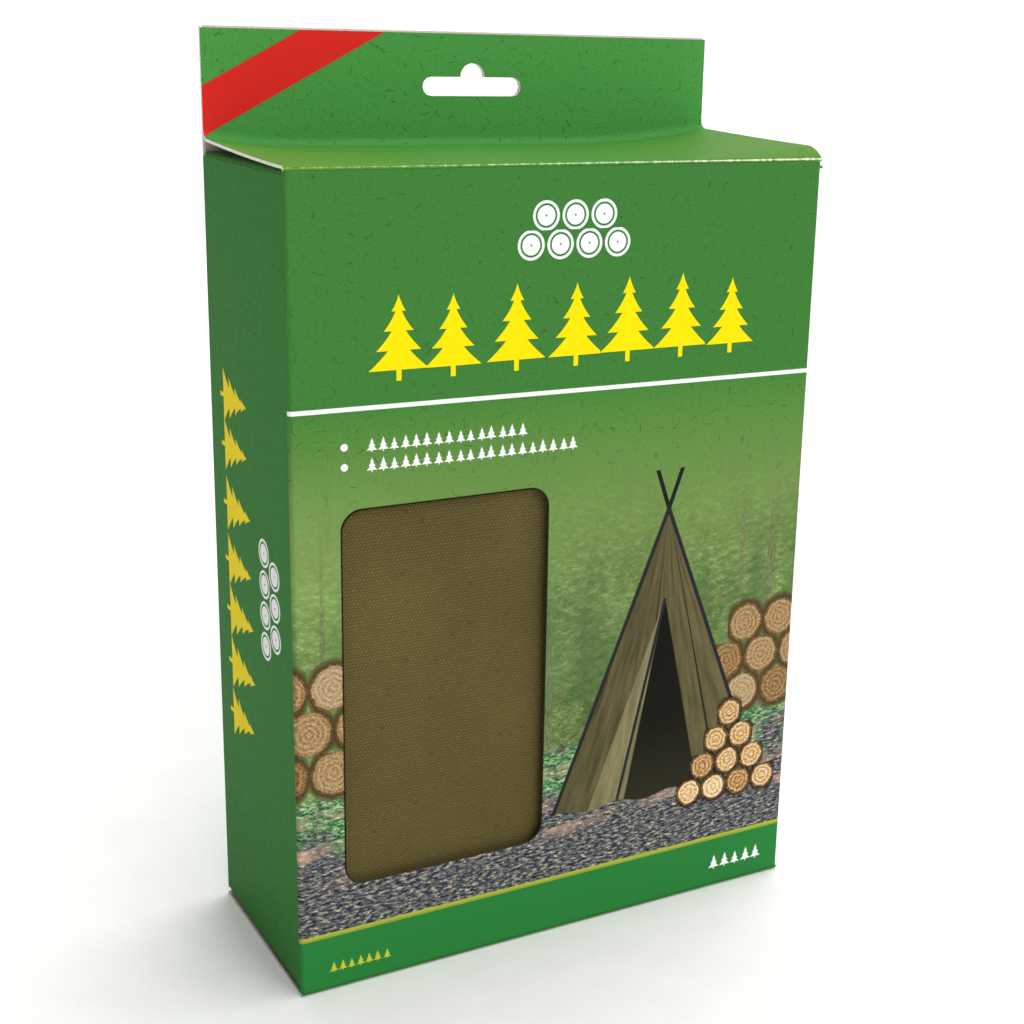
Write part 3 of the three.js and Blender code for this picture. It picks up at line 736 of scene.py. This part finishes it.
def woven_black(name, rib, dark, light, roughness):
    """Black yarn woven in slanting ribs, as webbing and binding tape are: a dull painted highlight on
    each.
    """
    material, add = new_finish(name)
    x, y, z = millimetres(add)
    along = add("Math ADD", z, y)
    slant = add("Math PINGPONG", x, rib * 2)
    ribs = add("Math PINGPONG", add("Math ADD", along, slant), rib / 2)
    ribs = add("Math DIVIDE", ribs, rib / 2)
    fuzz_size = 1 / 3  # in millimetres
    fuzz = add("TexNoise", add("CombineXYZ", x, y, z), 1 / fuzz_size, 3, 0.7)
    height = add("Math MULTIPLY_ADD", fuzz, 0.4, ribs)
    # rib crowns coloured lighter than the hollows: painted highlight and painted shade
    colour = add("ValToRGB", height, stops=[(0.2, dark), (1.1, light)])
    bump = add("Bump", {"Height": height, "Strength": 0.8, "Distance": 0.15 * mm})
    shader = {"Base Color": colour, "Roughness": roughness, "IOR": 1.49, "Normal": bump}
    add("OutputMaterial", add("BsdfPrincipled", shader))
    return material


def studio_floor():
    """Matt pale laminate: even, with a grain too faint to draw the eye."""
    material, add = new_finish("matt_pale_laminate")
    grain_size = 16.67 * mm
    grain = add("TexNoise", add("TexCoord", out="Object"), 1 / grain_size, 3, 0.6)
    colour = add("ValToRGB", grain, stops=[(0.2, "#f0f0ee"), (0.8, "#f6f6f4")])
    shader = {"Base Color": colour, "Roughness": 0.8, "Specular IOR Level": 0.2}
    add("OutputMaterial", add("BsdfPrincipled", shader))
    return material


def finished(name, bm, materials, slot=None, replaced=()):
    """Turns a bmesh into an object of the scene, and says what it rides on and stands for."""
    mesh = bpy.data.meshes.new(name)
    bm.to_mesh(mesh)
    bm.free()
    for material in materials:
        mesh.materials.append(material)
    made = bpy.data.objects.new(name, mesh)
    bpy.context.scene.collection.objects.link(made)
    if slot:
        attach(made, "root")
        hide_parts(*replaced)
    return made


def outward(place, low, high):
    """The direction from a box to a place just outside it: where the board's printed side faces."""
    nearest = Vector(max(a, min(b, c)) for a, b, c in zip(low, high, place))
    return (place - nearest).normalized()


# The space in the carton, a little smaller than the walls and panels leave it
hollow = Vector((half_width - 3 * mm, half_depth - 2.5 * mm, box_top - 2.5 * mm))
hollow_base = 3.5 * mm
far_out = 1.0  # past everything, for the ways in which a box is left open


def sleeve_facing(place):
    """The sleeve's printed side faces out, all the way up the tab's back ply."""
    return outward(place, (-hollow.x, -hollow.y, -far_out), (hollow.x, hollow.y, far_out))


def panel_facing(place):
    """A top or base panel, folded from the front or back wall, has its printed side out."""
    low = (-far_out, -hollow.y, hollow_base)
    return outward(place, low, (far_out, hollow.y, hollow.z))


def flap_facing(place):
    """A dust flap, folded from a side wall, has its printed side out."""
    low = (-hollow.x, -far_out, hollow_base)
    return outward(place, low, (hollow.x, far_out, hollow.z))


def top_facing(place):
    """The top panel's printed side faces up, and forward on the tab that turns up at its back."""
    if place.z > box_top + tab_upright:
        return Vector((0, -1, 0))
    if place.y > half_depth - tab_turn:
        return Vector((0, -1, 1)).normalized()
    return panel_facing(place)


def sleeve_print(place):
    """Which print a place on the sleeve has: front, side or back."""
    front, side, back = 0, 1, 2
    facing = sleeve_facing(place)
    if facing.y < -0.15:  # the front's print goes most of the way round its corners
        return front
    return back if facing.y > 0.7 else side


def top_print(place):
    """The tab has its own print, and so has the top panel."""
    risen = place.z > box_top + tab_print_rise
    return 1 if risen and place.y > half_depth - tab_print_depth else 0


def lip_print(place):
    """The right dust flap's ink is off where its fold has burst, at the front."""
    at_front = place.y < -half_depth + lip_length / 2
    return 1 if at_front and place.x > half_width - lip_bare else 0


def part_way(value, low, high):
    """How far a value has come from low to high, from 0 to 1."""
    return max(0, min(1, (value - low) / (high - low)))


def arch(value, low, high):
    """1 halfway between two places and 0 at both, along a smooth arch."""
    return math.sin(math.pi * part_way(value, low, high))


def sleeve_bow(place):
    """The walls belly out a little between their creases, and their rims close in on the panels."""
    facing = sleeve_facing(place)
    level = arch(place.z, 0, box_top)
    across = arch(place.x, -half_width, half_width)
    deep = arch(place.y, -half_depth, half_depth)
    outwards = -front_bow if facing.y < 0 else back_bow
    past = max(abs(place.x) - half_width, abs(place.y) - half_depth)
    outer = part_way(past, -board, 0)
    closing = sum(reach for height, reach in rims if abs(place.z - height) < on_rim)
    closing *= inner_share + (1 - inner_share) * outer
    sideways = facing.x * side_bow * deep * level
    return Vector((sideways, abs(facing.y) * outwards * across * level, closing))


def top_bow(place):
    """The top panel's sprung end bulges up behind its crease."""
    at_end = part_way(place.x, 0, half_width) ** 3
    behind = arch(place.y, -half_depth, -half_depth + bulge_length)
    return Vector((0, 0, end_bulge * at_end * behind))


def burst_lip(place):
    """The right dust flap's fold has burst out past the wall at its front end, and sags over it."""
    root, crest = half_width - 6 * mm, half_width - 1 * mm  # where it begins and ends to give way
    level, low = box_top - 1.1 * mm, box_top - 2.3 * mm  # and to sag
    given = part_way(place.x, root, crest)
    from_front = 1 - part_way(place.y, -half_depth, lip_length - half_depth)
    sag = lip_sag * part_way(place.z, level, low)
    return Vector((lip_reach, 0, -sag)) * given**1.5 * from_front**0.7


def at_window(place):
    """Whether a place is on the cut edge of the window, which is painted dark as shade."""
    beside = window_left - mm < place.x < window_left + window_width + mm
    level = window_base - mm < place.z < window_base + window_height + mm
    return beside and level and place.y < -half_depth + 2 * board


def at_crease(place):
    """Whether a place is on a crease that parts two solids, which stand for one sheet of board."""
    from_side = half_width - abs(place.x)
    if from_side < skin:
        return False
    if from_side < board and any(low < place.z < high for low, high in side_creases):
        return True
    if place.z > front_crease:
        return place.y < crease_depth - half_depth
    return place.z < base_creases and abs(place.y) > half_depth - crease_depth


def still(place):
    """No movement."""
    return Vector()


def merged_copy(node):
    """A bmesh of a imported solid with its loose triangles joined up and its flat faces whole."""
    bm = bmesh.new()
    bm.from_mesh(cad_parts[node].data)
    bmesh.ops.remove_doubles(bm, verts=bm.verts, dist=weld)
    bmesh.ops.dissolve_limit(bm, angle_limit=flat_enough, verts=bm.verts, edges=bm.edges)
    return bm


def rounded(bm, edges, width, segments):
    """Rounds edges off, and gives the new faces."""
    made = bmesh.ops.bevel(
        bm,
        geom=edges,
        offset=width,
        segments=segments,
        profile=0.5,
        affect="EDGES",
        material=-1,
        clamp_overlap=True,
    )
    return made["faces"]


def evenly_shaded(piece):
    """Shades a piece smooth, apart from where its faces meet at more than a soft turn."""
    piece.data.set_sharp_from_angle(angle=soft_turn)
    piece.modifiers.new("even_shading", "WEIGHTED_NORMAL").keep_sharp = True
    return piece


def softened(node, finish, slot):
    """A tape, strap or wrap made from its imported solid, with its hard edges worn round."""
    bm = merged_copy(node)
    bm.normal_update()
    hard = [edge for edge in bm.edges if edge.calc_face_angle(0) > soft_turn]
    rounded(bm, hard, edge_wear, 3)
    for face in bm.faces:
        face.smooth = True
    return evenly_shaded(finished(node + "_woven", bm, [finish], slot, [node]))


def dressed_board(node, prints, facing, print_at=lambda place: 0, bow=still, cell=9 * mm):
    """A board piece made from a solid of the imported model.

    It is cut into cells so that it can bow, finished by face, its raw edges eased, and bowed.
    """
    bm = merged_copy(node)
    low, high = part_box(node)
    for axis in range(3):
        count = round((high[axis] - low[axis]) / cell)
        for i in range(1, count):
            place, normal = Vector(), Vector()
            place[axis] = low[axis] + (high[axis] - low[axis]) * i / count
            normal[axis] = 1
            geom = bm.verts[:] + bm.edges[:] + bm.faces[:]
            bmesh.ops.bisect_plane(bm, geom=geom, plane_co=place, plane_no=normal, dist=weld)
    raw, inner, at_opening = (len(prints) + i for i in range(3))

    def dress(faces):
        """Sets each face's finish by the way it is turned: printed, uncoated or cut."""
        for face in faces:
            middle = face.calc_center_median()
            turned = face.normal.dot(facing(middle))
            face.material_index = at_opening if at_window(middle) else raw
            if at_crease(middle):
                face.material_index = print_at(middle)
            elif abs(turned) > 0.6:
                face.material_index = print_at(middle) if turned > 0 else inner
            face.smooth = True

    bm.normal_update()
    dress(bm.faces)
    sharp = [
        edge
        for edge in bm.edges
        if len({face.material_index in (raw, at_opening) for face in edge.link_faces}) == 2
    ]
    new_faces = rounded(bm, sharp, eased, 2)
    bm.normal_update()
    dress(new_faces)
    for vertex in bm.verts:
        vertex.co += bow(vertex.co)
    finishes = [*prints, edge_finish, back_finish, window_edge_painted_shade]
    return evenly_shaded(finished(node + "_board", bm, finishes, "board", [node]))


def carried(bm, rim, layer, grow, steps, move=(0, 0, 0), turn=0, centre=(0, 0, 0), axis=(1, 0, 0)):
    """Draws cloth out from its rim, straight or round a turn, and counts its length in a layer."""
    for _ in range(steps):
        made = bmesh.ops.spin(
            bm,
            geom=rim,
            cent=centre,
            axis=axis,
            dvec=move,
            angle=turn / steps,
            steps=1,
            use_duplicate=False,
        )
        rim = made["geom_last"]
        for vertex in (item for item in rim if isinstance(item, bmesh.types.BMVert)):
            vertex[layer] = Vector(vertex[layer]) + Vector(grow) / steps
    return rim


def folded_canvas():
    """The whole sheet of canvas: folded in three across, then to and fro along its length."""
    front = canvas_low.y + cloth / 2
    left = canvas_low.x + cloth / 2 + wrap_rise / 2
    right = canvas_high.x - cloth / 2 - ply_rise / 2
    inner_edge = left + edge_inset
    outer_edge = right - edge_inset
    bm = bmesh.new()
    layer = bm.verts.layers.float_vector.new("cloth_place")
    start = bmesh.ops.create_vert(bm, co=(inner_edge, front + ply_rise, first_end))["vert"]
    runs = round((right - left) / cloth_step)
    around = {"axis": (0, 0, 1), "steps": 8}
    ply = right - inner_edge
    rim = carried(bm, start, layer, move=(ply / runs, 0, 0), steps=runs, grow=(ply, 0, 0))
    centre = (right, front + ply_rise / 2, first_end)
    bend = math.pi * ply_rise / 2
    rim = carried(bm, rim, layer, turn=-math.pi, centre=centre, grow=(bend, 0, 0), **around)
    ply = right - left
    rim = carried(bm, rim, layer, move=(-ply / runs, 0, 0), steps=runs, grow=(ply, 0, 0))
    centre = (left, front + wrap_rise / 2, first_end)
    bend = math.pi * wrap_rise / 2
    rim = carried(bm, rim, layer, turn=-math.pi, centre=centre, grow=(bend, 0, 0), **around)
    ply = outer_edge - left
    carried(bm, rim, layer, move=(ply / runs, 0, 0), steps=runs, grow=(ply, 0, 0))
    rim = bm.verts[:] + bm.edges[:]
    depth = front
    heights = [first_end, low_turn, high_turn, low_turn, high_turn, last_end]
    for here, there in zip(heights, heights[1:]):
        length = there - here
        steps = round(abs(length) / cloth_step)
        grow = (0, abs(length), 0)
        rim = carried(bm, rim, layer, move=(0, 0, length / steps), steps=steps, grow=grow)
        if there == last_end:
            break
        low = there == low_turn
        radius = tight_bend if low else loose_bend
        centre = (0, depth + radius, there)
        turn = math.pi if low else -math.pi
        bend = math.pi * radius
        rim = carried(bm, rim, layer, turn=turn, centre=centre, steps=12, grow=(0, bend, 0))
        depth += 2 * radius
    for vertex in bm.verts:
        vertex.co += canvas_slack(vertex.co, front)
    bmesh.ops.recalc_face_normals(bm, faces=bm.faces)
    for face in bm.faces:
        face.smooth = True
    made = finished("canvas_sheet", bm, [duck], "canvas", ["folded_canvas"])
    wall = made.modifiers.new("cloth", "SOLIDIFY")
    wall.thickness = cloth
    wall.offset = 0
    return made


def canvas_slack(place, front):
    """The first panel isn't quite flat: it bellies forward and has a few low waves."""
    near_front = 1 - part_way(place.y, front, front + 3 * ply_rise)
    belly = arch(place.x, canvas_low.x, canvas_high.x) * arch(place.z, low_turn, first_end)
    wave = math.sin(place.x / (19 * mm) + place.z / (41 * mm)) * math.sin(place.z / (27 * mm))
    return Vector((0, -belly * (belly_depth + wave_depth * wave), 0)) * near_front


edge_finish = raw_edge("die_cut_board_edge", "#efeadc", "#faf7ee", "#fffefa")
# the window's cut edge is coloured dark: painted shade
window_edge_painted_shade = raw_edge("painted_shade_board_edge", "#292312", "#3b331d", "#4c4327")
back_finish = uncoated_back()
duck = cotton_duck()
green_flat = printed_plain("litho_printed_board_flat", (0, 1))
dressed_board(
    "carton_sleeve",
    [printed_front(), printed_side(), printed_plain("litho_printed_board_back", (0, 2))],
    sleeve_facing,
    sleeve_print,
    sleeve_bow,
)
dressed_board(
    "top_panel_and_tab",
    [printed_top(), printed_plain("litho_printed_board_tab_painted_light", (0, 2), stripe=True)],
    top_facing,
    top_print,
    top_bow,
    cell=3 * mm,
)
dressed_board("top_dust_flap_right", [green_flat, edge_finish], flap_facing, lip_print, burst_lip)
for node in (
    "top_dust_flap_left",
    "base_panel",
    "base_inner_panel",
    "base_dust_flap_left",
    "base_dust_flap_right",
):
    dressed_board(node, [green_flat], panel_facing if "panel" in node else flap_facing)

sheet = folded_canvas()
webbing = woven_black("black_polypropylene_webbing", 1.3, "#0e0f11", "#34363b", 0.6)
binding = woven_black("black_twill_binding_tape", 0.7, "#0c0c0e", "#26272b", 0.85)
tapes = [softened(node, binding, "tape") for node in ("edge_tape_inner", "edge_tape_outer")]
straps = [
    softened(node, webbing, "webbing")
    for node in (
        "webbing_strap_left",
        "webbing_strap_right",
        "rear_handle_cross",
        "front_handle_cross",
    )
]
wrap = softened("grip_wrap", duck, "canvas")

# Floor
floor_half = 12
floor_mesh = bmesh.new()
bmesh.ops.create_grid(floor_mesh, x_segments=8, y_segments=8, size=floor_half)
floor = finished("floor", floor_mesh, [studio_floor()])


def white_room():
    """A white room, bright at the carton's right and dim at its left."""
    brightest_way = (0.98, 0.2, 0)
    dim, bright = 0.12, 1.15
    world = bpy.data.worlds.new("white_room")
    add = node_adder(world)
    way = add("TexCoord", out="Generated")
    rightward = add("VectorMath DOT_PRODUCT", way, brightest_way, out="Value")
    brightness = add("MapRange", rightward, -0.1, 0.35, dim, bright)
    add("OutputWorld", add("Background", "#ffffff", brightness))
    return world


def soft_light(name, place, spread, strength):
    """Even light from far off in the direction of a place, as wide in the sky as spread."""
    lamp = bpy.data.lights.new(name, "SUN")
    lamp.angle = math.radians(spread)
    lamp.energy = strength
    made = bpy.data.objects.new(name, lamp)
    turn = (-Vector(place)).to_track_quat("-Z", "Y")
    made.matrix_world = Matrix.Translation(place) @ turn.to_matrix().to_4x4()
    bpy.context.scene.collection.objects.link(made)


# Light: the room, a soft key from the front and a wide light overhead
bpy.context.scene.world = white_room()
bpy.context.scene.view_settings.view_transform = "Standard"
soft_light("front_key", place=(0.12, -1.0, 0.75), spread=40, strength=1.15)
soft_light("overhead", place=(0.35, 0.2, 1.6), spread=60, strength=1.9)

# Camera, where the photograph's own was
camera_place = Vector((-220.9 * mm, -420.8 * mm, 264.0 * mm))
camera_azimuth = math.radians(-29.89)
camera_elevation = math.radians(15.61)
camera_roll = math.radians(1.51)
lens = bpy.data.cameras.new("camera")
lens.sensor_width = 36
lens.lens = 57.5
lens.shift_x = -0.0613
lens.shift_y = -0.0211
lens.clip_start = 0.01
camera = bpy.data.objects.new("camera", lens)
camera.matrix_world = (
    Matrix.Translation(camera_place)
    @ Matrix.Rotation(camera_azimuth, 4, "Z")
    @ Matrix.Rotation(math.pi / 2 - camera_elevation, 4, "X")
    @ Matrix.Rotation(camera_roll, 4, "Z")
)
bpy.context.scene.collection.objects.link(camera)
bpy.context.scene.camera = camera
